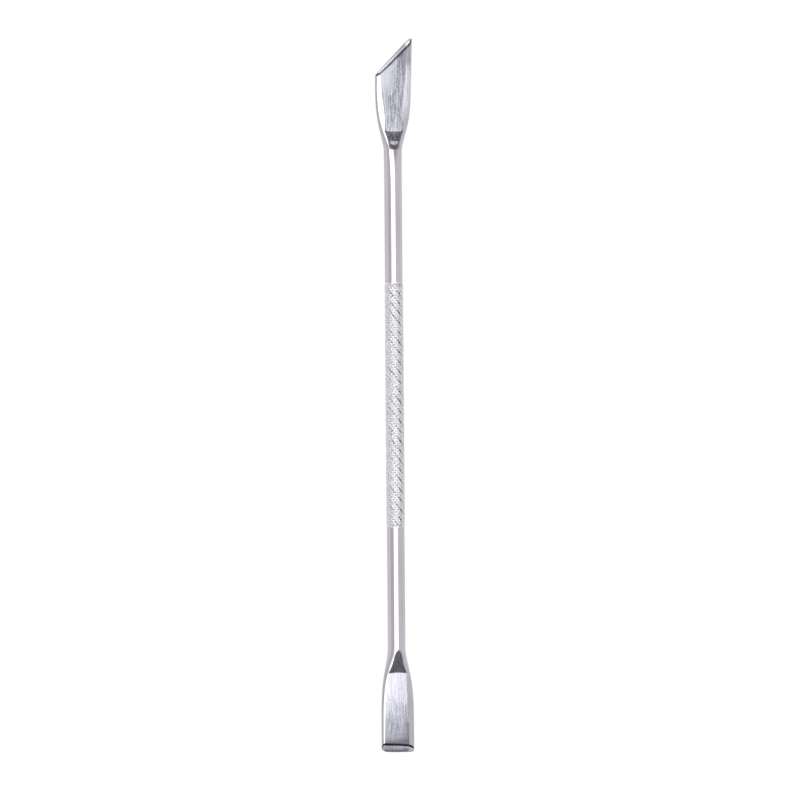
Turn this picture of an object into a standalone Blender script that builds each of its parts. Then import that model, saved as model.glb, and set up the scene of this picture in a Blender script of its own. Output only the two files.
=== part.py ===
"""Double-ended steel spudger: a thin bar with a knurled grip, a slanted blade and a square push blade.

The bar lies along Y with the slanted blade at +Y, its ground faces up and its lowest point on Z = 0.
It is modelled as five sections of one bar, from blade to blade. Units are metres.
"""

import math
from dataclasses import dataclass

import bmesh
import bpy
from mathutils import Matrix, Vector

MM = 0.001

# The bar, from its +Y end to its -Y end. The five lengths add up to the tool's length.
SLANT_BLADE_LENGTH = 18.85 * MM
UPPER_SHANK_LENGTH = 22.3 * MM
GRIP_LENGTH = 41.0 * MM
LOWER_SHANK_LENGTH = 20.3 * MM
PUSH_BLADE_LENGTH = 17.55 * MM
TOOL_LENGTH = (
    SLANT_BLADE_LENGTH + UPPER_SHANK_LENGTH + GRIP_LENGTH + LOWER_SHANK_LENGTH + PUSH_BLADE_LENGTH
)
BAR_RADIUS = 1.475 * MM
SECTION_GAP = 0.3 * MM  # kept between two sections that meet

# The knurl, rolled on the same bar, so its points stand a little proud of it.
GRIP_RADIUS = 1.57 * MM
KNURL_DEPTH = 0.12 * MM
KNURL_STARTS = 14
KNURL_PITCH = 0.83 * MM  # along the bar, from one diamond to the next

# Mesh fineness
SHANK_SIDES = 48
BLADE_SIDES = 40
BLADE_STATIONS = 24
STATION_CROWDING = 1.4  # over 1 puts more stations near the root, where the shape changes most
CORNER_STEPS = 5
SHARP_ANGLE = math.radians(40)  # edges are drawn sharp from this angle
CUTTER_SIZE = 24 * MM
CUTTER_MARGIN = 1 * MM  # how far a cutter reaches past the blade's end

# Colour and roughness of the steel
POLISHED = (0.72, 0.71, 0.73), 0.14
GROUND = (0.70, 0.71, 0.76), 0.32
ROLLED = (0.76, 0.75, 0.78), 0.24


@dataclass
class Blade:
    """A blade's shape in its own frame: the root at the origin, the tip at +Y, the ground face up."""

    pressed_length: float  # before its end is cut
    half_width: float  # where the blade is widest
    flare_reach: float  # how far from the root most of the widening happens
    flare_power: float  # how late and how suddenly it starts
    offset: float  # the blade's middle, sideways from the bar's axis
    lean: float  # more offset for each metre past lean_start
    lean_start: float
    corner_radius: float  # of the end's two corners, seen from above
    squareness: float  # added to the section's power where the pressed bar is squarest
    square_at: float  # where that is, from the root
    square_reach: float  # and over what length it dies out
    ramp_end: float  # where the ramp meets the face, from the root
    ramp_angle: float
    face_height: float  # of the face over the bar's axis, at the ramp's end
    face_fall: float  # the ground face falls towards the tip
    face_lean: float  # and this much sideways
    edge_point: tuple  # a point of the end's edge, seen from above
    edge_turn: float  # how far the edge is turned from square, seen from above
    bevel_skew: float  # how far the bevel is turned from the edge
    bevel_angle: float  # the bevel's fall from the horizontal
    bevel_foot: float  # height of the bevel's foot at edge_point, from the bar's axis


SECTION_POWER = 2.3  # 2 is an ellipse, and more is squarer
THICKNESS_TAPER = 4.0  # share of the thickness lost for each metre of blade
SQUARE_START = 1 * MM  # the pressed bar turns from round to square over this length

SLANT_BLADE = Blade(
    pressed_length=SLANT_BLADE_LENGTH,
    half_width=3.13 * MM,
    flare_reach=4.2 * MM,
    flare_power=1.55,
    offset=0.11 * MM,
    lean=0.025,
    lean_start=10 * MM,
    corner_radius=0,
    squareness=0.95,
    square_at=0.8 * MM,
    square_reach=1.9 * MM,
    ramp_end=3.1 * MM,
    ramp_angle=math.radians(11.3),
    face_height=0.7 * MM,
    face_fall=math.radians(0.9),
    face_lean=math.radians(0.3),
    edge_point=(3.36 * MM, SLANT_BLADE_LENGTH + 0.4 * MM),
    edge_turn=math.radians(46.4),
    bevel_skew=math.radians(-2.3),
    bevel_angle=math.radians(40),
    bevel_foot=-0.27 * MM,
)
PUSH_BLADE = Blade(
    pressed_length=PUSH_BLADE_LENGTH,
    half_width=2.82 * MM,
    flare_reach=4.8 * MM,
    flare_power=1.75,
    offset=-0.1 * MM,
    lean=0,
    lean_start=0,
    corner_radius=0.4 * MM,
    squareness=0.6,
    square_at=2.2 * MM,
    square_reach=1.8 * MM,
    ramp_end=4.1 * MM,
    ramp_angle=math.radians(10.6),
    face_height=0.69 * MM,
    face_fall=math.radians(0.7),
    face_lean=math.radians(-1.6),
    edge_point=(0, PUSH_BLADE_LENGTH),
    edge_turn=0,
    bevel_skew=math.radians(-6),
    bevel_angle=math.radians(40),
    bevel_foot=-0.46 * MM,
)


def clear_scene():
    for old in list(bpy.data.objects):
        bpy.data.objects.remove(old, do_unlink=True)


def new_collection(name):
    collection = bpy.data.collections.new(name)
    bpy.context.scene.collection.children.link(collection)
    return collection


def steel(name, finish):
    colour, roughness = finish
    material = bpy.data.materials.new(name)
    material.use_nodes = True
    shader = material.node_tree.nodes["Principled BSDF"]
    shader.inputs["Base Color"].default_value = (*colour, 1)
    shader.inputs["Metallic"].default_value = 1
    shader.inputs["Roughness"].default_value = roughness
    return material


def object_from(mesh_in_progress, name, collection, parent=None):
    """A new object that takes the mesh built in a bmesh, its faces turned out."""
    bmesh.ops.recalc_face_normals(mesh_in_progress, faces=mesh_in_progress.faces)
    mesh = bpy.data.meshes.new(name)
    mesh_in_progress.to_mesh(mesh)
    mesh_in_progress.free()
    made = bpy.data.objects.new(name, mesh)
    collection.objects.link(made)
    made.parent = parent
    return made


def bridge(mesh_in_progress, first, second):
    """Four-sided faces between two rings of the same number of points."""
    for i in range(len(first)):
        j = (i + 1) % len(first)
        mesh_in_progress.faces.new((first[i], first[j], second[j], second[i]))


# ---- Shanks and grip


def make_shank(name, middle, length, material, collection, bar):
    """A plain stretch of the bar."""
    shape = bmesh.new()
    along_y = Matrix.Rotation(math.radians(90), 4, "X")
    bmesh.ops.create_cone(
        shape,
        cap_ends=True,
        segments=SHANK_SIDES,
        radius1=BAR_RADIUS,
        radius2=BAR_RADIUS,
        depth=length - SECTION_GAP,
        matrix=along_y,
    )
    shank = object_from(shape, name, collection, bar)
    shank.location.y = middle
    shank.data.materials.append(material)
    shank.data.shade_smooth()
    shank.data.set_sharp_from_angle(angle=SHARP_ANGLE)


def knurl_ring(shape, row, last_row, y):
    """Points round the grip, by turns on a peak and in a valley, and all at full height at an end."""
    columns = 2 * KNURL_STARTS
    ring = []
    for column in range(columns):
        peak = (column + row) % 2 == 0 or row in (0, last_row)
        radius = GRIP_RADIUS - (0 if peak else KNURL_DEPTH)
        angle = 2 * math.pi * column / columns - math.pi / 2
        ring.append(shape.verts.new((radius * math.cos(angle), y, radius * math.sin(angle))))
    return ring


def make_grip(name, middle, material, collection, bar):
    """The knurled stretch: rows of four-sided points between two families of crossing grooves."""
    length = GRIP_LENGTH - SECTION_GAP
    last_row = 2 * round(length / KNURL_PITCH)
    shape = bmesh.new()
    rings = [
        knurl_ring(shape, row, last_row, length * (row / last_row - 0.5)) for row in range(last_row + 1)
    ]
    for row, (ring, following) in enumerate(zip(rings, rings[1:])):
        for i in range(len(ring)):
            j = (i + 1) % len(ring)
            a, b, c, d = ring[i], ring[j], following[j], following[i]
            if (i + row) % 2:  # the groove runs from a to c
                triangles = ((a, b, c), (a, c, d))
            else:
                triangles = ((a, b, d), (b, c, d))
            for triangle in triangles:
                shape.faces.new(triangle)
    shape.faces.new(rings[0])
    shape.faces.new(rings[-1])
    grip = object_from(shape, name, collection, bar)
    grip.location.y = middle
    grip.data.materials.append(material)


# ---- Blades


def flare(blade, distance):
    """Share of the way from the bar's round section to the blade's, at a distance from the root."""
    return 1 - math.exp(-((distance / blade.flare_reach) ** blade.flare_power))


def from_round(distance):
    """Share of the squareness that shows: none at the root, where the bar is still round."""
    return min(1, distance / SQUARE_START)


def area_share(power):
    """Area of a superellipse over that of the box round it."""
    return math.gamma(1 + 1 / power) ** 2 / math.gamma(1 + 2 / power)


def section(blade, distance):
    """The pressed bar's section there, before it is ground. It keeps the bar's area as it widens."""
    spread = flare(blade, distance)
    beside_root = 1 / math.cosh((distance - blade.square_at) / blade.square_reach)
    power = 2 + (SECTION_POWER - 2) * spread + blade.squareness * beside_root * from_round(distance)
    half_width = BAR_RADIUS + (blade.half_width - BAR_RADIUS) * spread
    half_thickness = math.pi * BAR_RADIUS**2 / (4 * area_share(power) * half_width)
    half_thickness *= 1 - THICKNESS_TAPER * distance
    into_corner = max(0, distance - (blade.pressed_length - blade.corner_radius))
    half_width -= blade.corner_radius - math.sqrt(max(0, blade.corner_radius**2 - into_corner**2))
    middle = blade.offset * spread + blade.lean * max(0, distance - blade.lean_start)
    return middle, half_width, half_thickness, power


def stations(blade):
    """Distances from the root at which the blade's sections are made."""
    straight = blade.pressed_length - blade.corner_radius
    start = SECTION_GAP / 2
    for i in range(BLADE_STATIONS + 1):
        yield start + (straight - start) * (i / BLADE_STATIONS) ** STATION_CROWDING
    if blade.corner_radius:
        for i in range(1, CORNER_STEPS + 1):
            yield straight + blade.corner_radius * math.sin(math.pi / 2 * i / CORNER_STEPS)


def section_ring(shape, blade, distance):
    middle, half_width, half_thickness, power = section(blade, distance)
    ring = []
    for i in range(BLADE_SIDES):
        angle = 2 * math.pi * i / BLADE_SIDES
        across, up = math.cos(angle), math.sin(angle)
        x = middle + half_width * math.copysign(abs(across) ** (2 / power), across)
        z = half_thickness * math.copysign(abs(up) ** (2 / power), up)
        ring.append(shape.verts.new((x, distance, z)))
    return ring


def pressed_bar(name, blade, collection, bar):
    """The blade before grinding: a loft from the bar's round section to a wide flat one."""
    shape = bmesh.new()
    rings = [section_ring(shape, blade, distance) for distance in stations(blade)]
    for ring, following in zip(rings, rings[1:]):
        bridge(shape, ring, following)
    shape.faces.new(rings[0])
    shape.faces.new(rings[-1])
    return object_from(shape, name, collection, bar)


def cut_with(blade_object, cutter):
    cutter.parent = blade_object
    cutter.hide_render = True
    cutter.display_type = "WIRE"
    modifier = blade_object.modifiers.new(cutter.name, "BOOLEAN")
    modifier.operation = "DIFFERENCE"
    modifier.solver = "EXACT"
    modifier.object = cutter


def grinding_cutter(name, blade, cutters):
    """What the grinder takes off the top: a ramp down from the bar, then the long flat face."""
    beyond = blade.pressed_length + CUTTER_MARGIN
    top = 3 * BAR_RADIUS
    ramp_rise = blade.ramp_end * math.tan(blade.ramp_angle)
    face_drop = (beyond - blade.ramp_end) * math.tan(blade.face_fall)
    outline = (
        (0, blade.face_height + ramp_rise),
        (blade.ramp_end, blade.face_height),
        (beyond, blade.face_height - face_drop),
        (beyond, top),
        (0, top),
    )
    shape = bmesh.new()
    side = [shape.verts.new((-CUTTER_SIZE / 2, y, z)) for y, z in outline]
    made = bmesh.ops.extrude_face_region(shape, geom=[shape.faces.new(side)])
    moved = [item for item in made["geom"] if isinstance(item, bmesh.types.BMVert)]
    bmesh.ops.translate(shape, verts=moved, vec=(CUTTER_SIZE, 0, 0))
    for corner in shape.verts:
        corner.co.z += corner.co.x * math.tan(blade.face_lean)
    return object_from(shape, name, cutters)


def plane_cutter(name, point, normal, cutters):
    """A cube with one face on the plane through point, on the side that normal points to."""
    shape = bmesh.new()
    bmesh.ops.create_cube(shape, size=CUTTER_SIZE)
    cutter = object_from(shape, name, cutters)
    cutter.rotation_mode = "QUATERNION"
    cutter.rotation_quaternion = normal.to_track_quat("Z", "Y")
    cutter.location = point + normal * (CUTTER_SIZE / 2)
    return cutter


def outward(turn):
    """The horizontal direction square to an edge that is turned by this angle from across the blade."""
    return Matrix.Rotation(turn, 3, "Z") @ Vector((0, 1, 0))


def make_blade(name, blade, root, material, collection, cutters, bar):
    """A pressed and ground blade, its root at the given place along the bar."""
    blade_object = pressed_bar(name, blade, collection, bar)
    blade_object.location.y = root
    cut_with(blade_object, grinding_cutter(name + "_grinding", blade, cutters))
    edge = Vector((*blade.edge_point, 0))
    if blade.edge_turn:
        cut_with(blade_object, plane_cutter(name + "_end", edge, outward(blade.edge_turn), cutters))
    fall = outward(blade.edge_turn + blade.bevel_skew) * math.sin(blade.bevel_angle)
    bevel_normal = fall + Vector((0, 0, math.cos(blade.bevel_angle)))
    foot = edge + Vector((0, 0, blade.bevel_foot))
    cut_with(blade_object, plane_cutter(name + "_bevel", foot, bevel_normal, cutters))
    blade_object.data.materials.append(material)
    return blade_object


def stand_on_origin(bar, parts):
    """Moves the whole bar so that its box stands centred on the origin."""
    bpy.context.view_layer.update()
    graph = bpy.context.evaluated_depsgraph_get()
    corners = []
    for part in parts:
        evaluated = part.evaluated_get(graph)
        corners += [evaluated.matrix_world @ Vector(corner) for corner in evaluated.bound_box]
    low = Vector(map(min, zip(*corners)))
    high = Vector(map(max, zip(*corners)))
    bar.location -= Vector(((low.x + high.x) / 2, (low.y + high.y) / 2, low.z))


def main():
    clear_scene()
    parts = new_collection("spudger")
    cutters = new_collection("cutters")
    bar = bpy.data.objects.new("bar_axis", None)
    parts.objects.link(bar)

    slant_root = TOOL_LENGTH / 2 - SLANT_BLADE_LENGTH
    grip_top = slant_root - UPPER_SHANK_LENGTH
    grip_bottom = grip_top - GRIP_LENGTH
    push_root = grip_bottom - LOWER_SHANK_LENGTH

    slant_steel, push_steel = steel("slant_blade_steel", GROUND), steel("push_blade_steel", GROUND)
    upper_steel, lower_steel = steel("upper_shank_steel", POLISHED), steel("lower_shank_steel", POLISHED)
    grip_steel = steel("knurled_grip_steel", ROLLED)

    make_blade("slant_blade", SLANT_BLADE, slant_root, slant_steel, parts, cutters, bar)
    upper_middle, lower_middle = (slant_root + grip_top) / 2, (grip_bottom + push_root) / 2
    make_shank("upper_shank", upper_middle, UPPER_SHANK_LENGTH, upper_steel, parts, bar)
    make_grip("knurled_grip", (grip_top + grip_bottom) / 2, grip_steel, parts, bar)
    make_shank("lower_shank", lower_middle, LOWER_SHANK_LENGTH, lower_steel, parts, bar)
    push_blade = make_blade("push_blade", PUSH_BLADE, push_root, push_steel, parts, cutters, bar)
    push_blade.rotation_euler.z = math.pi
    stand_on_origin(bar, [item for item in parts.objects if item.type == "MESH"])


main()
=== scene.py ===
"""Looks of the double-ended steel spudger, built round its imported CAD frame.

Each CAD node is one section of a single steel bar. A finer piece stands for each of them here, and
the pieces meet end to end, so that the bar shows no joints. Units are metres. The bar lies along Y
with the slanted blade at +Y, and its ground faces look up.
"""

import math  # noqa: E402
from dataclasses import dataclass  # noqa: E402

import bpy  # noqa: E402
import numpy as np  # noqa: E402
from mathutils import Matrix, Vector  # noqa: E402


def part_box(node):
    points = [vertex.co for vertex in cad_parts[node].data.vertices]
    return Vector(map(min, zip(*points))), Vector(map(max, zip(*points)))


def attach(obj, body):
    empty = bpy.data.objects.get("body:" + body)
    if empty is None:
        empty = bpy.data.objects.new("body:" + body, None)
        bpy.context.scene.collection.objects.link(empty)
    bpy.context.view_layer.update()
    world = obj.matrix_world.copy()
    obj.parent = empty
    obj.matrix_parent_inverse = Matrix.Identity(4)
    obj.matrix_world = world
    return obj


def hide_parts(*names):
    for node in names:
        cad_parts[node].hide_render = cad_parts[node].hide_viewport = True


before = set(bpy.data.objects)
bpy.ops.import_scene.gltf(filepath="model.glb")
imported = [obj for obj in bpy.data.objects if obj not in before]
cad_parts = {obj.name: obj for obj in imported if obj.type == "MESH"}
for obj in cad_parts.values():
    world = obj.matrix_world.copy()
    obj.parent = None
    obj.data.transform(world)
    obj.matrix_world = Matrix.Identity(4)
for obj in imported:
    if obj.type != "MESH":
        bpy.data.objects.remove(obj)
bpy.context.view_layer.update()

MM = 0.001

# ---- The bar

LOW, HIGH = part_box("upper_shank")
AXIS_X = (LOW[0] + HIGH[0]) / 2
AXIS_Z = (LOW[2] + HIGH[2]) / 2
BAR_RADIUS = 1.475 * MM
SLANT_ROOT_Y = 41.15 * MM  # where the slanted blade starts, and so on down the bar
GRIP_TOP_Y = 18.85 * MM
GRIP_BOTTOM_Y = -22.15 * MM
PUSH_ROOT_Y = -42.45 * MM

SHANK_SIDES = 144
SHANK_ROWS = 60

# ---- The knurl

KNURL_RADIUS = 1.57 * MM
KNURL_MARGIN = 0.006 * MM  # by which the points stay inside that radius
KNURL_STARTS = 14
KNURL_PITCH = 0.825 * MM  # along the bar, from one diamond to the next
KNURL_DEPTH = 0.07 * MM
KNURL_SHALLOW = 0.05 * MM  # depth of the second family of grooves
KNURL_GRIT = 0.004 * MM  # height of the finest unevenness
GROOVE_SHARPNESS = 1.3
KNURL_SIDES = 168
KNURL_ROWS = 560
KNURL_FADE = 0.5 * MM  # over this length the grooves die out at each end
FADE_CELLS = 9  # cells of noise round the bar, which make the ends of the grooves uneven
UNEVEN_CELLS = 12
UNEVEN_LENGTH = 1.1 * MM  # of a cell of noise along the bar
GRIT_CELLS = 56
GRIT_LENGTH = 0.3 * MM
DARK_STRIPE_AT = math.radians(21)  # round to the right of the top, where a painted dark reflection lies along the grip
DARK_STRIPE_WIDTH = math.radians(9)
# painted shade laid down in the knurl's grooves, and how sharply it keeps to them
GROOVE_SHADE = 0.42
GROOVE_SHADE_SHARPNESS = 4.0

# ---- Blade surfaces

SECTION_POWER = 2.3  # of the superellipse that the pressed bar's section comes to
THICKNESS_TAPER = 4.0  # share of the thickness that goes for each metre from the root
WAIST_AT = 0.45 * MM
WAIST_REACH = 1.2 * MM
CROWN_REACH = 0.7  # share of the half-width at which the face's crown has its full slope
SIDE_EDGE = 0.012 * MM  # softness of the edges along the ground face
RAMP_CREASE = 0.01 * MM
SIDE_FALL_ROUNDING = 0.8 * MM
SIDE_FALL_REACH = 9 * MM
LEDGE_ANGLE = math.radians(22)
LEDGE_FLAT = math.radians(3)
LEDGE_DROP = 0.03 * MM  # of the ledge below the ramp's line
LEDGE_SIDE = (0.5 * MM, 0.8 * MM)  # distances to either side over which the ledge dies out
LEDGE_BOW = 0.35  # mm along for each square mm across
BLUNT_ANGLE = math.radians(50)
TIP_ROUNDING = 0.12 * MM
FULL_BULGE = 0.25 * MM  # an end that is lower than this bulges less
GROUND_FADE = (-0.004 * MM, 0.006 * MM)  # heights over which the ground finish ends at its edge
HIGHLIGHT_START = (4 * MM, 8 * MM)  # from the root, where the right flank's painted highlight starts
HIGHLIGHT_END = (12.5 * MM, 15.5 * MM)  # and where it fades beside the tip
HIGHLIGHT_LOSS = 0.7  # share that it loses there

FACE_COLUMNS = 57
FLANK_COLUMNS = 24
CREASE_RANGE = (0.12, 0.9)  # least and most share of the half-width that the face takes
RAMP_ROWS = 70
AFTER_RAMP = np.array([0.02, 0.05, 0.09, 0.15, 0.23, 0.35, 0.5]) * MM
NEAR_ROWS = 40
NEAR_START = 0.65 * MM  # from the ramp's end
NEAR_END = 7.5 * MM  # from the root; up to here the rows run straight across
FACE_ROWS = 45
BEVEL_ROWS = 21
BEVEL_MARGIN = 0.7 * MM
END_ROWS = 11


@dataclass
class Blade:
    """A blade in its own frame: the root at the origin, the tip at +Y, the ground face up."""

    half_width: float
    flare_reach: float  # distance over which the bar widens into the blade
    flare_power: float
    offset: float  # of the blade's middle from the bar's axis
    lean: float  # of the middle line to +X, for each metre past lean_start
    lean_start: float
    corner_radius: float
    corner_start: float
    ramp_end: float
    ramp_angle: float
    ramp_hollow: float  # depth of the ramp's middle below a straight line
    squareness: float  # how much squarer the pressed bar's section is beside the root
    square_at: float
    square_reach: tuple  # towards the bar and towards the tip
    waist: float  # share of the thickness that is drawn away lengthwise beside the root
    face_height: float
    face_fall: float
    face_crown: float  # slope that the face gains from its middle to its side
    face_roll: float  # slope that the face gains towards its tip
    face_lean: float  # sideways slope of the whole face
    side_fall: float  # sideways slope that the half of the face at +X gains towards the tip
    edge_point: tuple  # a point that the end's edge passes through
    edge_turn: float  # of the end from square across
    tip_reach: float  # the tip is cut off square here
    bevel_skew: float  # of the bevel from the edge
    bevel_angle: float
    bevel_foot: float  # height of the bevel plane at the edge point
    bevel_grain: float  # share of the face's grain that shows on the bevel
    end_grain: float  # and on the end
    ridge: float  # softness of the ridge between face and bevel
    blunt: float  # width of the narrow steep facet along the foot of the bevel
    bulge: float  # roundness of the end below it
    flank_highlight: float  # strength of the painted highlight on the right flank beside the face
    ledge: tuple  # the grinder's mark across the ramp: where it starts and ends, from the root


SLANT_BLADE = Blade(
    half_width=3.125 * MM,
    flare_reach=4.2 * MM,
    flare_power=1.55,
    offset=0.11 * MM,
    lean=0.025,
    lean_start=10 * MM,
    corner_radius=0,
    corner_start=0,
    ramp_end=3.1 * MM,
    ramp_angle=math.radians(11.3),
    ramp_hollow=0.03 * MM,
    squareness=0.75,
    square_at=0.8 * MM,
    square_reach=(1.8 * MM, 1.9 * MM),
    waist=0.035,
    face_height=0.72 * MM,
    face_fall=math.radians(1.6),
    face_crown=math.radians(2),
    face_roll=math.radians(-2.4),
    face_lean=math.radians(0.3),
    side_fall=math.radians(2),
    edge_point=(3.36 * MM, 19.25 * MM),
    edge_turn=math.radians(46.4),
    tip_reach=18.845 * MM,
    bevel_skew=math.radians(-4.5),
    bevel_angle=math.radians(40),
    bevel_foot=-0.28 * MM,
    bevel_grain=0.45,
    end_grain=0,
    ridge=0.36 * MM,
    blunt=0.28 * MM,
    bulge=0.08 * MM,
    flank_highlight=1,
    ledge=(0.85 * MM, 1.46 * MM),
)
PUSH_BLADE = Blade(
    half_width=2.82 * MM,
    flare_reach=4.8 * MM,
    flare_power=1.75,
    offset=-0.1 * MM,
    lean=0,
    lean_start=0,
    corner_radius=0.4 * MM,
    corner_start=17.15 * MM,
    ramp_end=4.1 * MM,
    ramp_angle=math.radians(11.3),
    ramp_hollow=0,
    squareness=0.05,
    square_at=2.2 * MM,
    square_reach=(1.5 * MM, 2 * MM),
    waist=0,
    face_height=0.7 * MM,
    face_fall=math.radians(1.2),
    face_crown=math.radians(2),
    face_roll=math.radians(-1.6),
    face_lean=math.radians(-1.6),
    side_fall=0,
    edge_point=(0, 17.545 * MM),
    edge_turn=0,
    tip_reach=20 * MM,
    bevel_skew=math.radians(-6),
    bevel_angle=math.radians(40),
    bevel_foot=-0.46 * MM,
    bevel_grain=0.8,
    end_grain=0.8,
    ridge=0.36 * MM,
    blunt=0.1 * MM,
    bulge=0.1 * MM,
    flank_highlight=0,
    ledge=(),
)

# ---- Meshes

ON_CAP = 0.0001 * MM  # a point as near as this to a flat end lies on it
WELD = 0.0005 * MM
NOISE_TABLE = 64


def smooth_min(a, b, k):
    """The lower of two heights, with the corner between them rounded over a height of k."""
    h = np.clip(0.5 + 0.5 * (b - a) / k, 0, 1)
    return b * (1 - h) + a * h - k * h * (1 - h)


def smooth_max(a, b, k):
    """The higher of two heights, with the corner rounded in the same way."""
    return -smooth_min(-a, -b, k)


def smooth_step(x, low, high):
    t = np.clip((x - low) / (high - low), 0, 1)
    return t * t * (3 - 2 * t)


def make_piece(name, points, faces, node, material):
    """One closed mesh that stands for a CAD node."""
    mesh = bpy.data.meshes.new(name)
    mesh.from_pydata(points.tolist(), [], faces)
    mesh.validate()
    piece = bpy.data.objects.new(name, mesh)
    bpy.context.scene.collection.objects.link(piece)
    mesh.materials.append(material)
    mesh.shade_smooth()
    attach(piece, "root")
    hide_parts(node)
    return piece


def grid_faces(index):
    """Quads of a grid of vertex numbers, without a corner that is used twice."""
    a, b, c, d = index[:-1, :-1], index[:-1, 1:], index[1:, 1:], index[1:, :-1]
    faces = []
    for quad in np.stack([a, b, c, d], -1).reshape(-1, 4).tolist():
        kept = [v for k, v in enumerate(quad) if v != quad[k - 1]]
        if len(kept) > 2:
            faces.append(kept)
    return faces


def tube(across, up, y):
    """Points and faces of a closed tube about the bar's axis, from grids of rows by sides."""
    rows, sides = across.shape
    points = np.stack([AXIS_X + across, y + 0 * across, AXIS_Z + up], -1).reshape(-1, 3)
    index = np.arange(rows * sides).reshape(rows, sides)
    wrapped = np.concatenate([index, index[:, :1]], 1)
    faces = grid_faces(wrapped[:, ::-1])
    faces.append(index[0].tolist())
    faces.append(index[-1][::-1].tolist())
    return points, faces


def set_attribute(piece, name, values):
    """One number for each of the piece's points, for its material to read."""
    attribute = piece.data.attributes.new(name, "FLOAT", "POINT")
    attribute.data.foreach_set("value", values.astype(np.float32))


def mark_caps_sharp(piece, low_y, high_y):
    """Sharpens the edges of the flat ends, so that the sides shade as one with the next piece."""
    mesh = piece.data
    places = np.empty(len(mesh.vertices) * 3, np.float32)
    mesh.vertices.foreach_get("co", places)
    y = places[1::3]
    ends = np.empty(len(mesh.edges) * 2, np.int32)
    mesh.edges.foreach_get("vertices", ends)
    ends = ends.reshape(-1, 2)
    sharp = np.zeros(len(mesh.edges), bool)
    for level in (low_y, high_y):
        on_cap = np.abs(y - level) < ON_CAP
        sharp |= on_cap[ends[:, 0]] & on_cap[ends[:, 1]]
    attribute = mesh.attributes.new("sharp_edge", "BOOLEAN", "EDGE")
    attribute.data.foreach_set("value", sharp)


def make_shank(name, grip_y, root_y, blade, node, material):
    """A plain stretch of the bar, round at the grip and a little squarer at the blade's root."""
    low_y, high_y = sorted((grip_y, root_y))
    y = np.linspace(low_y, high_y, SHANK_ROWS)[:, None]
    _, half_width, half_thickness, power = section(blade, -np.abs(y - root_y))
    angle = 2 * math.pi * np.arange(SHANK_SIDES) / SHANK_SIDES
    across = half_width * np.sign(np.cos(angle)) * np.abs(np.cos(angle)) ** (2 / power)
    up = half_thickness * np.sign(np.sin(angle)) * np.abs(np.sin(angle)) ** (2 / power)
    points, faces = tube(across, up, y)
    piece = make_piece(name, points, faces, node, material)
    mark_caps_sharp(piece, low_y, high_y)


def groove(phase, sharpness):
    """1 in the middle of a groove and 0 halfway between two, for a phase in turns."""
    return (0.5 + 0.5 * np.cos(2 * math.pi * phase)) ** sharpness


def lattice_noise(u, v, seed):
    """Smooth noise over a plane, from -1 to 1, with one value for each unit square."""
    table = np.random.default_rng(seed).uniform(-1, 1, (NOISE_TABLE, NOISE_TABLE))
    iu, iv = np.floor(u).astype(int), np.floor(v).astype(int)
    fu, fv = u - iu, v - iv
    fu, fv = fu * fu * (3 - 2 * fu), fv * fv * (3 - 2 * fv)

    def at(a, b):
        return table[(iu + a) % NOISE_TABLE, (iv + b) % NOISE_TABLE]

    low = at(0, 0) * (1 - fu) + at(1, 0) * fu
    high = at(0, 1) * (1 - fu) + at(1, 1) * fu
    return low * (1 - fv) + high * fv


def make_knurl(node, material):
    """The rolled grip: two families of crossing grooves, cut to an uneven depth."""
    y = np.linspace(GRIP_BOTTOM_Y, GRIP_TOP_Y, KNURL_ROWS)[:, None]
    turn = (np.arange(KNURL_SIDES) / KNURL_SIDES)[None, :]
    first = KNURL_STARTS * turn - y / KNURL_PITCH  # runs down to the right as seen from above
    second = KNURL_STARTS * turn + y / KNURL_PITCH
    every_other = 0.5 + 0.5 * np.cos(math.pi * np.round(first))
    uneven = lattice_noise(turn * UNEVEN_CELLS + 0 * y, y / UNEVEN_LENGTH + 0 * turn, 3)
    grit = lattice_noise(turn * GRIT_CELLS + 0 * y, y / GRIT_LENGTH + 0 * turn, 5)
    deep = groove(first, GROOVE_SHARPNESS) * KNURL_DEPTH * (0.5 + 0.5 * every_other)
    deep = deep * (1 + 0.3 * uneven)
    shallow = groove(second, GROOVE_SHARPNESS) * KNURL_SHALLOW * (1 - 0.35 * uneven)
    cut = np.maximum(deep, shallow) + KNURL_GRIT * grit
    from_end = np.minimum(y - GRIP_BOTTOM_Y, GRIP_TOP_Y - y)
    reach = KNURL_FADE * (0.75 + 0.5 * lattice_noise(turn * FADE_CELLS, 0 * turn + 0.5, 8))
    strength = smooth_step(from_end, 0.1 * reach, reach)
    body = BAR_RADIUS + (KNURL_RADIUS - KNURL_MARGIN - BAR_RADIUS) * strength
    radius = np.minimum(body - cut * strength, KNURL_RADIUS)
    angle = 2 * math.pi * turn
    points, faces = tube(radius * np.cos(angle), radius * np.sin(angle), y)
    piece = make_piece("knurl", points, faces, node, material)
    mark_caps_sharp(piece, GRIP_BOTTOM_Y, GRIP_TOP_Y)
    # a painted dark reflection in a band round to the right of the top
    from_dark_stripe = (math.pi / 2 - angle - DARK_STRIPE_AT) / DARK_STRIPE_WIDTH
    dark_stripe = np.exp(-(from_dark_stripe**2))
    # painted shade down in the grooves, plus a painted dark reflection in a stripe right of the
    # top
    knurl_shade = groove(first, GROOVE_SHADE_SHARPNESS) * GROOVE_SHADE * (1 + 0.5 * uneven)
    knurl_shade = (knurl_shade + dark_stripe * (0.1 + groove(first, 2.0) * every_other)) * strength
    set_attribute(piece, "knurl_shade", np.clip(knurl_shade, 0, 1).ravel())


# ---- Blades


def area_share(power):
    """Area of a superellipse over that of the box round it."""
    gamma = np.vectorize(math.gamma)
    return gamma(1 + 1 / power) ** 2 / gamma(1 + 2 / power)


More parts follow.
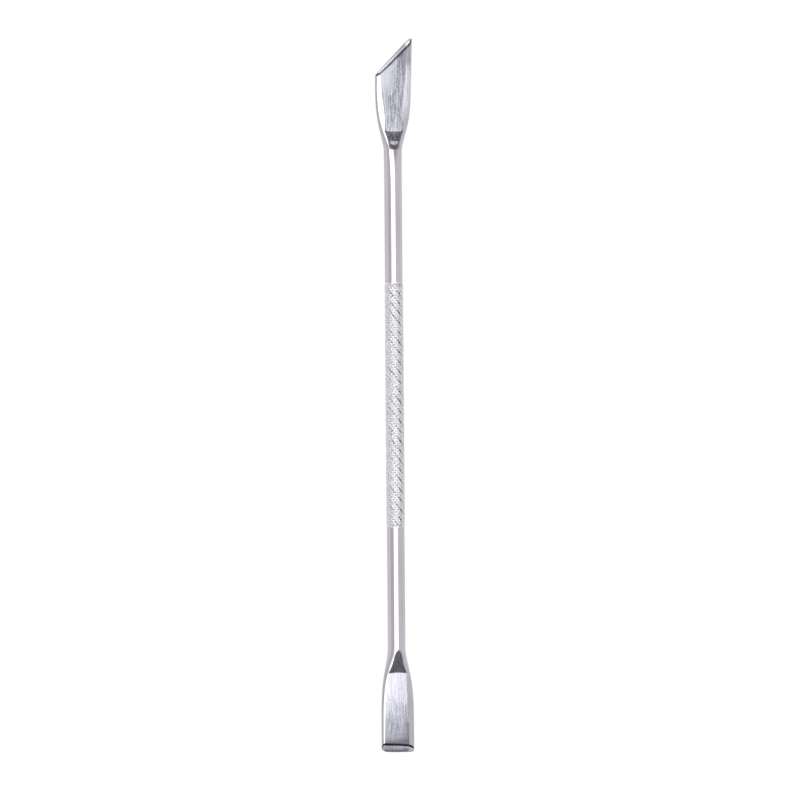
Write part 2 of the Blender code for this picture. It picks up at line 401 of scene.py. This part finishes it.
def section(blade, y):
    """Middle, half-width, half-thickness and power of the pressed bar's section at distances y."""
    spread = 1 - np.exp(-((np.maximum(y, 0) / blade.flare_reach) ** blade.flare_power))
    reach = np.where(y < blade.square_at, blade.square_reach[0], blade.square_reach[1])
    beside_root = 1 / np.cosh((y - blade.square_at) / reach)
    power = 2 + (SECTION_POWER - 2) * spread + blade.squareness * beside_root
    half_width = BAR_RADIUS + (blade.half_width - BAR_RADIUS) * spread
    half_thickness = math.pi * BAR_RADIUS**2 / (4 * area_share(power) * half_width)
    half_thickness = half_thickness * (1 - THICKNESS_TAPER * np.maximum(y, 0))
    beside_waist = np.exp(-(((y - WAIST_AT) / WAIST_REACH) ** 2))
    half_thickness = half_thickness * (1 - blade.waist * beside_waist)
    if blade.corner_radius:
        into = np.clip(y - blade.corner_start, 0, blade.corner_radius)
        rounded = blade.corner_radius - np.sqrt(blade.corner_radius**2 - into**2)
        half_width = half_width - rounded
    middle = blade.offset * spread + blade.lean * np.maximum(0, y - blade.lean_start)
    return middle, half_width, half_thickness, power


def ground_height(blade, y, x):
    """Height of what the grinder leaves: a ramp, then the long face, over the bar's axis."""
    ramp = blade.face_height + (blade.ramp_end - y) * math.tan(blade.ramp_angle)
    ramp = ramp - blade.ramp_hollow * np.sin(math.pi * np.clip(y / blade.ramp_end, 0, 1))
    along = np.maximum(0, y - blade.ramp_end)
    reach = blade.edge_point[1] - blade.ramp_end
    face = blade.face_height - (y - blade.ramp_end) * math.tan(blade.face_fall)
    face = face - math.tan(blade.face_roll) * along**3 / (3 * reach**2)
    face = face - math.tan(blade.face_crown) * x**2 / (2 * CROWN_REACH * blade.half_width)
    to_side = 0.5 * (x + np.sqrt(x**2 + SIDE_FALL_ROUNDING**2))
    face = face - math.tan(blade.side_fall) * to_side * smooth_step(along, 0, SIDE_FALL_REACH)
    if blade.ledge:
        start, end = blade.ledge
        bowed = y - LEDGE_BOW * x**2 / MM
        flat = blade.face_height + (blade.ramp_end - end) * math.tan(blade.ramp_angle)
        flat = flat - LEDGE_DROP
        flat = flat + (end - bowed) * math.tan(LEDGE_FLAT)
        step = flat + np.maximum(0, start - bowed) * math.tan(LEDGE_ANGLE)
        cut = np.where(bowed < end, np.maximum(np.minimum(ramp, flat), step), ramp)
        ramp = cut + (ramp - cut) * smooth_step(np.abs(x), *LEDGE_SIDE)
    return smooth_max(ramp, face, RAMP_CREASE) + math.tan(blade.face_lean) * x


def edge_line(blade, x):
    """Distance from the root of the end's edge, seen from above."""
    px, py = blade.edge_point
    line = py - blade.bulge / math.cos(blade.edge_turn) + (x - px) * math.tan(blade.edge_turn)
    return smooth_min(line, blade.tip_reach - blade.bulge, TIP_ROUNDING)


def bevel_slopes(blade):
    """Fall of the bevel plane for each metre across and along."""
    turn = blade.edge_turn + blade.bevel_skew
    steep = math.tan(blade.bevel_angle)
    return -math.sin(turn) * steep, math.cos(turn) * steep


def bevel_height(blade, x, y):
    """Height of the bevel plane, which passes through its foot at the edge point."""
    px, py = blade.edge_point
    across, along = bevel_slopes(blade)
    return blade.bevel_foot - (x - px) * across - (y - py) * along


def blunt_height(blade, x, y):
    """Height of the steep facet between the bevel and the end."""
    start = edge_line(blade, x) - blade.blunt / math.cos(blade.edge_turn)
    fall = (y - start) * math.tan(BLUNT_ANGLE) * math.cos(blade.edge_turn)
    return bevel_height(blade, x, start) - fall


def column_shares():
    """Columns across the blade: shares of the face's half-width, and of the angle down a flank."""
    inner = np.linspace(-0.955, 0.955, FACE_COLUMNS)
    face = np.concatenate([[-1, -0.992, -0.976], inner, [0.976, 0.992, 1]])
    flank = np.linspace(0, 1, FLANK_COLUMNS + 1)[1:] ** 1.25
    return face, flank


def flank_share():
    """For each column, 1 at the face's right edge, fading over the face and down the flank."""
    face, flank = column_shares()
    onto_face = smooth_step(face, 0.82, 1)
    return np.concatenate([0 * flank, onto_face, 1 - flank**0.7])


def columns_across(blade, y):
    """Place of each column, from -1 at the left edge to 1 at the right, at distances y."""
    face, flank = column_shares()
    n_flank, n_face = len(flank), len(face)
    _, _, half_thickness, power = section(blade, y)
    share = np.clip(ground_height(blade, y, 0 * y) / half_thickness, 0.0, 0.995)
    crease = np.clip((1 - share**power) ** (1 / power), *CREASE_RANGE)
    u = np.empty_like(y)
    for j in range(y.shape[1]):
        p, c = power[:, j], crease[:, j]
        angle = np.arccos(c ** (p / 2))
        if j < n_flank:
            u[:, j] = -np.cos(angle * (1 - flank[n_flank - 1 - j])) ** (2 / p)
        elif j < n_flank + n_face:
            u[:, j] = c * face[j - n_flank]
        else:
            u[:, j] = np.cos(angle * (1 - flank[j - n_flank - n_face])) ** (2 / p)
    return u


def heights(blade, x, y, u):
    """Heights of the top before the bevel, of the bottom, and how much of the top is ground."""
    _, _, half_thickness, power = section(blade, y)
    forged = half_thickness * np.maximum(0, 1 - np.abs(u) ** power) ** (1 / power)
    ground = ground_height(blade, y, x)
    top = smooth_min(forged, ground, SIDE_EDGE)
    return np.maximum(top, -forged), -forged, smooth_step(forged - ground, *GROUND_FADE)


def steps(count):
    """Even steps from 0 to 1, without the 0."""
    return np.linspace(0, 1, count + 1)[1:]


def blade_rows(blade, x, y, u):
    """Distances of the grid's rows: straight across near the root, along the end near the tip."""
    straight = np.concatenate(
        [
            np.linspace(0, blade.ramp_end, RAMP_ROWS),
            blade.ramp_end + AFTER_RAMP,
            np.linspace(blade.ramp_end + NEAR_START, NEAR_END, NEAR_ROWS),
        ]
    )
    top, bottom, _ = heights(blade, x, y, u)
    _, along = bevel_slopes(blade)
    edge = edge_line(blade, x)
    foot = bevel_height(blade, x, edge)
    to_end = np.maximum(0, (bottom - foot) / along)[-1]
    to_crease = np.maximum(np.maximum(0, (top - foot) / along)[-1], to_end)
    last = edge[-1]
    inner = last - to_crease - BEVEL_MARGIN
    rows = [np.full(x.shape[1], distance) for distance in straight]
    rows += [(1 - v) * straight[-1] + v * inner for v in steps(FACE_ROWS)]
    rows += [last - to_crease - BEVEL_MARGIN * (1 - v) ** 1.5 for v in steps(BEVEL_ROWS)]
    rows += [last - to_end - (to_crease - to_end) * (1 - v) for v in steps(BEVEL_ROWS)]
    return np.array(rows)


def blade_grid(blade):
    """x, y and u of every point of the blade seen from above."""
    face, flank = column_shares()
    columns = len(face) + 2 * len(flank)
    y = np.full((1, columns), blade.edge_point[1] - 2 * MM)
    for _ in range(6):  # rows and columns depend on each other, and settle in a few rounds
        u = columns_across(blade, y)
        middle, half_width, _, _ = section(blade, y)
        x = middle + half_width * u
        y = blade_rows(blade, x, y, u)
    u = columns_across(blade, y)
    middle, half_width, _, _ = section(blade, y)
    return middle + half_width * u, y, u


def blade_finish(blade, y, before, bevel, ground):
    """How much each point of the top is ground, and how much painted highlight it carries."""
    off_bevel = smooth_step(bevel - before, -0.5 * blade.ridge, 0.5 * blade.ridge)
    ground = ground * (blade.bevel_grain + (1 - blade.bevel_grain) * off_bevel)
    painted_highlight = blade.flank_highlight * flank_share() * smooth_step(y, *HIGHLIGHT_START)
    painted_highlight = painted_highlight * (1 - HIGHLIGHT_LOSS * smooth_step(y, *HIGHLIGHT_END) * off_bevel)
    return np.stack([ground.ravel(), painted_highlight.ravel()], -1)


def blade_end(blade, x, y, top, bottom):
    """Points down the rounded end, from the last row of the top to that of the bottom."""
    levels = np.linspace(0, 1, END_ROWS + 2)[:, None]
    height = top[-1] - bottom[-1]
    bulge = blade.bulge * np.sin(math.pi * levels) * np.minimum(1, height / FULL_BULGE)
    end_x = x[-1] - math.sin(blade.edge_turn) * bulge
    end_y = y[-1] + math.cos(blade.edge_turn) * bulge
    return np.stack([end_x, end_y, top[-1] - height * levels], -1).reshape(-1, 3)


def blade_faces(rows, columns):
    """Faces of the closed blade: its top, its bottom, its end and the flat cap at its root."""
    top = np.arange(rows * columns).reshape(rows, columns)
    bottom = top + rows * columns
    bottom[:, 0], bottom[:, -1] = top[:, 0], top[:, -1]
    end = np.arange((END_ROWS + 2) * columns).reshape(END_ROWS + 2, columns) + 2 * rows * columns
    end[0], end[-1] = top[-1], bottom[-1]
    end[:, 0], end[:, -1] = top[-1, 0], top[-1, -1]
    faces = grid_faces(top) + grid_faces(bottom[:, ::-1]) + grid_faces(end)
    faces.append(top[0, ::-1].tolist() + bottom[0, 1:-1].tolist())
    return faces


def make_blade(name, blade, root_y, turned, node, material):
    """A blade from its root to its tip; a turned one points to -Y."""
    x, y, u = blade_grid(blade)
    before, bottom, ground = heights(blade, x, y, u)
    bevel = np.minimum(bevel_height(blade, x, y), blunt_height(blade, x, y))
    top = np.maximum(smooth_min(before, bevel, blade.ridge), bottom)
    finish = blade_finish(blade, y, before, bevel, ground)
    side = 0.5 * (top + bottom)
    for z in (top, bottom):
        z[:, 0], z[:, -1] = side[:, 0], side[:, -1]
    end = blade_end(blade, x, y, top, bottom)
    end_finish = np.zeros((len(end), 2))
    end_finish[:, 0] = blade.end_grain
    sheets = [np.stack([x, y, z], -1).reshape(-1, 3) for z in (top, bottom)]
    points = np.concatenate(sheets + [end])
    finish = np.concatenate([finish, 0 * finish, end_finish])
    points, faces, finish = weld(points, blade_faces(*x.shape), finish)
    spin = -1 if turned else 1
    points = points * np.array([spin, spin, 1]) + np.array([AXIS_X, root_y, AXIS_Z])
    piece = make_piece(name, points, faces, node, material)
    set_attribute(piece, "ground", finish[:, 0])
    set_attribute(piece, "painted_highlight", finish[:, 1])
    mark_caps_sharp(piece, root_y, root_y)


def weld(points, faces, finish):
    """Merges points that fall on one another, and drops what that leaves of no use."""
    key = np.round(points / WELD).astype(np.int64)
    _, first, inverse = np.unique(key, axis=0, return_index=True, return_inverse=True)
    inverse = inverse.ravel()
    used = sorted({int(inverse[v]) for face in faces for v in face})
    renumber = {old: new for new, old in enumerate(used)}
    kept = []
    for face in faces:
        loop = [renumber[int(inverse[v])] for v in face]
        loop = [v for k, v in enumerate(loop) if v != loop[k - 1]]
        if len(set(loop)) > 2:
            kept.append(loop)
    chosen = first[used]
    return points[chosen], kept, finish[chosen]


# ---- Materials

BAR_TONES = ((0.50, 0.474, 0.50, 1), (0.57, 0.543, 0.57, 1))  # of the drawn steel: stained, clean
SIDE_TONES = ((0.44, 0.425, 0.45, 1), (0.51, 0.495, 0.52, 1))  # and of a blade's sides by its tip
SIDE_TONES_FROM = (42 * MM, 50 * MM)  # distances from the middle over which they change
KNURL_TONES = ((0.62, 0.615, 0.64, 1), (0.99, 0.985, 1.0, 1))
# colour of the painted shade in the knurl's grooves and along its dark stripe
KNURL_SHADE_TONE = (0.10, 0.10, 0.11, 1)
GRAIN_TONES = ((0.22, 0.225, 0.265, 1), (0.70, 0.705, 0.78, 1))
# painted highlight colour laid on the ground faces
PAINTED_BRIGHT_FACE = (0.58, 0.59, 0.64, 1)
# painted shade colour laid on the ground faces
PAINTED_DULL_FACE = (0.13, 0.132, 0.15, 1)
# painted highlight along the face's right margin and down the right flank
MARGIN_HIGHLIGHT_TONE = (0.92, 0.93, 1.0, 1)
MARGIN_HIGHLIGHT_SHARE = 0.65
FLANK_HIGHLIGHT_TONE = (1.0, 0.985, 1.0, 1)


class Nodes:
    """Short ways to add and join a node tree's nodes."""

    def __init__(self, tree):
        self.tree = tree
        tree.nodes.clear()

    def add(self, kind, **values):
        node = self.tree.nodes.new(kind)
        for key, value in values.items():
            setattr(node, key, value)
        return node

    def link(self, source, target):
        self.tree.links.new(source, target)

    def put(self, socket, value):
        """Gives a socket a number or colour, or links another node's output to it."""
        if hasattr(value, "is_output"):
            self.link(value, socket)
        else:
            socket.default_value = value

    def math(self, operation, a, b=0.0, clamp=False):
        node = self.add("ShaderNodeMath", operation=operation, use_clamp=clamp)
        self.put(node.inputs[0], a)
        self.put(node.inputs[1], b)
        return node.outputs[0]

    def spread(self, value, low, high, to_low, to_high, smooth=False):
        """The value carried over from the range low to high to another range, and kept in it."""
        kind = "SMOOTHSTEP" if smooth else "LINEAR"
        node = self.add("ShaderNodeMapRange", interpolation_type=kind)
        for socket, number in zip(node.inputs[:5], (value, low, high, to_low, to_high)):
            self.put(socket, number)
        return node.outputs[0]

    def noise(self, stretch, detail=2.0, roughness=0.5, seed=0.0):
        """Noise over the object's coordinates; stretch is its cells per metre along X, Y and Z."""
        place = self.add("ShaderNodeTexCoord")
        mapping = self.add("ShaderNodeMapping")
        mapping.inputs["Scale"].default_value = stretch
        mapping.inputs["Location"].default_value = (seed, seed, seed)
        noise = self.add("ShaderNodeTexNoise")
        noise.inputs["Scale"].default_value = 1
        noise.inputs["Detail"].default_value = detail
        noise.inputs["Roughness"].default_value = roughness
        self.link(place.outputs["Object"], mapping.inputs["Vector"])
        self.link(mapping.outputs["Vector"], noise.inputs["Vector"])
        return noise.outputs["Fac"]

    def blend(self, share, a, b):
        """Colour between a and b."""
        node = self.add("ShaderNodeMix", data_type="RGBA")
        self.put(node.inputs["Factor"], share)
        self.put(node.inputs["A"], a)
        self.put(node.inputs["B"], b)
        return node.outputs["Result"]

    def mix(self, share, a, b):
        """Number between a and b."""
        node = self.add("ShaderNodeMix", data_type="FLOAT")
        self.put(node.inputs[0], share)
        self.put(node.inputs[2], a)
        self.put(node.inputs[3], b)
        return node.outputs[0]

    def across_the_bar(self):
        """The direction across the bar, along which the fine grain scatters light."""
        node = self.add("ShaderNodeVectorTransform", vector_type="VECTOR")
        node.convert_from, node.convert_to = "OBJECT", "WORLD"
        node.inputs["Vector"].default_value = (1, 0, 0)
        return node.outputs["Vector"]

    def bump(self, height, distance):
        node = self.add("ShaderNodeBump")
        node.inputs["Strength"].default_value = 1.0
        node.inputs["Distance"].default_value = distance
        self.link(height, node.inputs["Height"])
        return node.outputs["Normal"]

    def coordinates(self, kind):
        """X, Y and Z, of the shaded point or of the direction that the world is seen in."""
        place = self.add("ShaderNodeTexCoord")
        parts = self.add("ShaderNodeSeparateXYZ")
        self.link(place.outputs[kind], parts.inputs[0])
        return parts.outputs["X"], parts.outputs["Y"], parts.outputs["Z"]

    def attribute(self, name):
        """The number that set_attribute gave each point."""
        node = self.add("ShaderNodeAttribute", attribute_name=name, attribute_type="GEOMETRY")
        return node.outputs["Fac"]


def new_material(name):
    """A metal, with its nodes and its shader."""
    material = bpy.data.materials.new(name)
    material.use_nodes = True
    nodes = Nodes(material.node_tree)
    shader = nodes.add("ShaderNodeBsdfPrincipled")
    out = nodes.add("ShaderNodeOutputMaterial")
    nodes.link(shader.outputs["BSDF"], out.inputs["Surface"])
    shader.inputs["Metallic"].default_value = 1
    shader.inputs["Specular Tint"].default_value = (0.75, 0.75, 0.77, 1)
    return material, nodes, shader


def stains(nodes):
    """Large soft noise, the same on all the drawn steel."""
    return nodes.noise((260, 120, 260), detail=3, seed=5)


def polished_steel():
    """The plain shanks: bright drawn steel with faint lengthwise lines."""
    material, nodes, shader = new_material("polished_steel")
    lines = nodes.noise((2600, 60, 2600), detail=3, seed=2)
    stain = stains(nodes)
    tone = nodes.spread(nodes.math("ADD", lines, stain), 0.7, 1.3, 0.0, 1.0)
    nodes.put(shader.inputs["Base Color"], nodes.blend(tone, *BAR_TONES))
    nodes.put(shader.inputs["Roughness"], nodes.spread(stain, 0.3, 0.7, 0.10, 0.17))
    nodes.put(shader.inputs["Normal"], nodes.bump(lines, 0.0012 * MM))
    return material


def knurled_steel():
    """The grip: bright points, with painted shade down in the grooves and along a dark stripe."""
    material, nodes, shader = new_material("knurled_steel")
    grit = nodes.noise((4200, 4200, 4200), detail=2, seed=7)
    clean = nodes.blend(nodes.spread(grit, 0.35, 0.62, 0, 1), *KNURL_TONES)
    # blends the points towards the painted shade colour
    knurl_shade = nodes.math("MULTIPLY", nodes.attribute("knurl_shade"), 0.9)
    nodes.put(shader.inputs["Base Color"], nodes.blend(knurl_shade, clean, KNURL_SHADE_TONE))
    nodes.put(shader.inputs["Roughness"], nodes.spread(grit, 0.3, 0.7, 0.43, 0.51))
    shader.inputs["Anisotropic"].default_value = 0.8
    nodes.link(nodes.across_the_bar(), shader.inputs["Tangent"])
    return material


def painted_bright_share(nodes, x, y):
    """Where a painted highlight brightens the ground faces: by the push blade's root, and left of
    the slanted tip.
    """
    on_push = nodes.spread(y, 0, MM, 1, 0)
    by_push_root = nodes.spread(y, -56 * MM, -47 * MM, 0, 0.65, smooth=True)
    by_push_root = nodes.math("MULTIPLY", by_push_root, on_push)
    under_edge = nodes.spread(y, 50 * MM, 53 * MM, 0, 0.8, smooth=True)
    to_left = nodes.spread(x, -1.2 * MM, 0.6 * MM, 1, 0.1, smooth=True)
    return nodes.math("ADD", by_push_root, nodes.math("MULTIPLY", under_edge, to_left))


def painted_dull_share(nodes, x, y):
    """Where painted shade dulls them.

    The push face is painted darker towards its tip, most of all to the right. Its bevel is painted
    less dark, except for a painted dark line along its foot. The slanted face has a light painted
    shade, which is thickest at the right by its tip.
    """
    to_right = nodes.spread(x, 0, 2 * MM, 0.69, 0.92, smooth=True)
    to_push_tip = nodes.spread(y, -59 * MM, -49 * MM, 1, 0, smooth=True)
    on_push = nodes.math("MULTIPLY", to_push_tip, to_right)
    at_edge = nodes.spread(y, -58.7 * MM, -57.3 * MM, 0.45, 0, smooth=True)
    on_push = nodes.math("ADD", on_push, at_edge, clamp=True)
    off_bevel = nodes.spread(y, -58.95 * MM, -58.75 * MM, 0.2, 1)
    on_push = nodes.math("MULTIPLY", on_push, off_bevel)
    # painted dark line along the foot of the push blade's end
    at_foot = nodes.spread(y, -59.6 * MM, -59.4 * MM, 0.8, 0, smooth=True)
    on_push = nodes.math("ADD", on_push, at_foot, clamp=True)
    to_slant_tip = nodes.spread(y, 53 * MM, 57 * MM, 0.08, 0.42, smooth=True)
    to_slant_tip = nodes.math(
        "MULTIPLY", to_slant_tip, nodes.spread(x, 0, 1.5 * MM, 0, 1, smooth=True)
    )
    # painted shade over the slanted face, thickest at the right by its tip
    slant_shade = nodes.math("ADD", to_slant_tip, 0.15)
    slant_shade = nodes.math("MULTIPLY", slant_shade, nodes.spread(y, 44.2 * MM, 45 * MM, 0, 1))
    return nodes.math("ADD", on_push, slant_shade, clamp=True)


def ground_steel():
    """The blades: a lengthwise grain on the ground faces, and bright drawn steel on the sides,
    with painted highlights and painted shade laid over both.
    """
    material, nodes, shader = new_material("ground_steel")
    ground, painted_highlight = nodes.attribute("ground"), nodes.attribute("painted_highlight")
    x, y, _ = nodes.coordinates("Object")
    coarse = nodes.noise((5200, 330, 5200), detail=2, roughness=0.6, seed=1)
    fine = nodes.noise((8500, 2400, 8500), detail=2, roughness=0.6, seed=4)
    coarse, fine = nodes.math("MULTIPLY", coarse, 0.6), nodes.math("MULTIPLY", fine, 0.4)
    grain = nodes.math("ADD", coarse, fine)

    face = nodes.blend(nodes.spread(grain, 0.4, 0.6, 0, 1), *GRAIN_TONES)
    # painted highlight on the ground faces
    face = nodes.blend(painted_bright_share(nodes, x, y), face, PAINTED_BRIGHT_FACE)
    # painted shade on the ground faces
    face = nodes.blend(painted_dull_share(nodes, x, y), face, PAINTED_DULL_FACE)
    # painted highlight along the face's right margin
    face = nodes.blend(nodes.math("MULTIPLY", painted_highlight, MARGIN_HIGHLIGHT_SHARE), face, MARGIN_HIGHLIGHT_TONE)

    stained = nodes.spread(stains(nodes), 0.3, 0.7, 0, 1)
    by_root, by_tip = nodes.blend(stained, *BAR_TONES), nodes.blend(stained, *SIDE_TONES)
    from_middle = nodes.math("ABSOLUTE", y)
    to_tip = nodes.spread(from_middle, *SIDE_TONES_FROM, 0, 1, smooth=True)
    side = nodes.blend(to_tip, by_root, by_tip)
    # painted highlight on the right flank
    bright = nodes.math("MULTIPLY", painted_highlight, nodes.spread(grain, 0.4, 0.6, 0.55, 1.0))
    side = nodes.blend(bright, side, FLANK_HIGHLIGHT_TONE)

    nodes.put(shader.inputs["Base Color"], nodes.blend(ground, side, face))
    rough = nodes.mix(ground, 0.14, nodes.spread(grain, 0.35, 0.65, 0.26, 0.36))
    nodes.put(shader.inputs["Roughness"], rough)
    shader.inputs["Anisotropic"].default_value = 0.7
    nodes.link(nodes.across_the_bar(), shader.inputs["Tangent"])
    height = nodes.math("MULTIPLY", grain, ground)
    nodes.put(shader.inputs["Normal"], nodes.bump(height, 0.008 * MM))
    return material


# ---- Surroundings

FLOOR_SIZE = 6
FLOOR_DROP = 0.05 * MM  # below the tool
FLOOR_GLOW = 0.92

LEFT_SKY = 0.78  # brightness of the room to the tool's left
RIGHT_SKY = 0.94  # and to its right
SLANT_SKY = 0.21  # high up past the slanted blade
PUSH_SKY = 0.045  # and past the push blade
LOW_SKY = 0.8  # near the horizon
SKY_TINT = (1, 0.985, 1.02, 1)
BACKDROP = 1.1  # brightness of the plain white that the camera sees behind everything

CAMERA_ROLL = math.radians(15)  # how far the camera stands over to the tool's left
PICTURE_TURN = math.radians(0.449)
CAMERA_DISTANCE = 0.8
FRAME_WIDTH = 134.36 * MM
SENSOR = 36.0
AIM = (0.897 * MM, -0.798 * MM)  # from the tool's centre to the picture's, right and up in it


def make_floor():
    """A plain pale floor, which glows so that it stays white under the tool."""
    bpy.ops.mesh.primitive_plane_add(size=FLOOR_SIZE, location=(0, 0, -FLOOR_DROP))
    floor = bpy.context.active_object
    floor.name = "floor"
    material, _, shader = new_material("pale_floor")
    shader.inputs["Metallic"].default_value = 0
    shader.inputs["Base Color"].default_value = (0.15, 0.15, 0.15, 1)
    shader.inputs["Roughness"].default_value = 0.9
    shader.inputs["Specular IOR Level"].default_value = 0
    shader.inputs["Emission Color"].default_value = (1, 1, 1, 1)
    shader.inputs["Emission Strength"].default_value = FLOOR_GLOW
    floor.data.materials.append(material)


def sky_brightness(nodes):
    """A soft room: bright to both sides and low down, dim high up past the tool's ends.

    One faint dark patch lies to the right of the softbox, on the slanted blade's side.
    """
    x, y, z = nodes.coordinates("Generated")
    to_end = nodes.math("ABSOLUTE", y)
    end_sky = nodes.spread(y, -0.1, 0.1, PUSH_SKY, SLANT_SKY)
    side_sky = nodes.spread(x, -0.4, 0.4, LEFT_SKY, RIGHT_SKY, smooth=True)
    high = nodes.mix(nodes.spread(to_end, 0.12, 0.38, 0, 1, smooth=True), side_sky, end_sky)
    low = nodes.mix(nodes.spread(to_end, 0.2, 0.7, 0, 1, smooth=True), side_sky, LOW_SKY)
    level = nodes.mix(nodes.spread(z, 0.18, 0.42, 0, 1, smooth=True), low, high)
    patch = nodes.math(
        "MULTIPLY",
        nodes.spread(x, 0.12, 0.22, 0, 1, smooth=True),
        nodes.spread(x, 0.34, 0.5, 1, 0, smooth=True),
    )
    patch = nodes.math("MULTIPLY", patch, nodes.spread(y, 0.1, 0.16, 0, 0.5, smooth=True))
    return nodes.mix(patch, level, 0.0)


def make_world():
    """The room that the steel mirrors, and a plain white backdrop for the camera alone."""
    world = bpy.data.worlds.new("studio")
    bpy.context.scene.world = world
    world.use_nodes = True
    nodes = Nodes(world.node_tree)
    sky = nodes.add("ShaderNodeBackground")
    sky.inputs["Color"].default_value = SKY_TINT
    nodes.put(sky.inputs["Strength"], sky_brightness(nodes))
    backdrop = nodes.add("ShaderNodeBackground")
    backdrop.inputs["Color"].default_value = (1, 1, 1, 1)
    backdrop.inputs["Strength"].default_value = BACKDROP
    path = nodes.add("ShaderNodeLightPath")
    chosen = nodes.add("ShaderNodeMixShader")
    nodes.link(path.outputs["Is Camera Ray"], chosen.inputs[0])
    nodes.link(sky.outputs[0], chosen.inputs[1])
    nodes.link(backdrop.outputs[0], chosen.inputs[2])
    out = nodes.add("ShaderNodeOutputWorld")
    nodes.link(chosen.outputs[0], out.inputs["Surface"])


def add_panel(name, direction, distance, width, length, radiance):
    """A soft rectangular light. Its width lies across the tool and its length along it."""
    light = bpy.data.lights.new(name, "AREA")
    light.shape = "RECTANGLE"
    light.size, light.size_y = width, length
    light.energy = radiance * math.pi * width * length
    panel = bpy.data.objects.new(name, light)
    bpy.context.scene.collection.objects.link(panel)
    back = Vector(direction).normalized()
    right = Vector((0, 1, 0)).cross(back).normalized()
    up = back.cross(right)
    stand(panel, back * distance, right, up, back)
    panel.visible_camera = False


def stand(thing, place, right, up, back):
    """Puts a light or the camera in its place, looking away from its back."""
    turn = Matrix((right, up, back)).transposed().to_4x4()
    thing.matrix_world = Matrix.Translation(place) @ turn


def camera_axis():
    """Direction from the tool to the camera."""
    return Vector((-math.sin(CAMERA_ROLL), 0, math.cos(CAMERA_ROLL)))


def make_lights():
    """A softbox round the camera's line, and three low panels past the tool's ends."""
    softbox = camera_axis() + Vector((0, -0.03, 0))
    add_panel("softbox", softbox, 0.9, 0.835, 0.505, 2.05)
    add_panel("slant_end_panel", (-0.50, 0.80, 0.32), 1.2, 0.9, 0.3, 2.0)
    add_panel("push_end_panel", (0.15, -0.9, 0.42), 1.2, 0.8, 0.3, 1.35)
    add_panel("corner_panel", (0.75, -0.65, 0.12), 1.2, 0.35, 0.25, 2.5)


def make_camera():
    """A long lens that frames the tool as in the photo."""
    back = camera_axis()
    level_up = Vector((0, 1, 0))
    level_right = level_up.cross(back)
    right = math.cos(PICTURE_TURN) * level_right - math.sin(PICTURE_TURN) * level_up
    up = math.cos(PICTURE_TURN) * level_up + math.sin(PICTURE_TURN) * level_right
    data = bpy.data.cameras.new("camera")
    data.sensor_width = SENSOR
    data.lens = SENSOR * CAMERA_DISTANCE / FRAME_WIDTH
    data.clip_start, data.clip_end = 0.01, 20
    camera = bpy.data.objects.new("camera", data)
    bpy.context.scene.collection.objects.link(camera)
    centre = Vector((AXIS_X, 0, AXIS_Z)) + right * AIM[0] + up * AIM[1]
    stand(camera, centre + back * CAMERA_DISTANCE, right, up, back)
    bpy.context.scene.camera = camera


def make_tool():
    polished, knurled, ground = polished_steel(), knurled_steel(), ground_steel()
    make_blade("slanted_blade", SLANT_BLADE, SLANT_ROOT_Y, False, "slant_blade", ground)
    make_shank("shank_upper", GRIP_TOP_Y, SLANT_ROOT_Y, SLANT_BLADE, "upper_shank", polished)
    make_knurl("knurled_grip", knurled)
    make_shank("shank_lower", GRIP_BOTTOM_Y, PUSH_ROOT_Y, PUSH_BLADE, "lower_shank", polished)
    make_blade("square_blade", PUSH_BLADE, PUSH_ROOT_Y, True, "push_blade", ground)


make_tool()
make_floor()
make_world()
make_lights()
make_camera()
bpy.context.scene.view_settings.view_transform = "Standard"
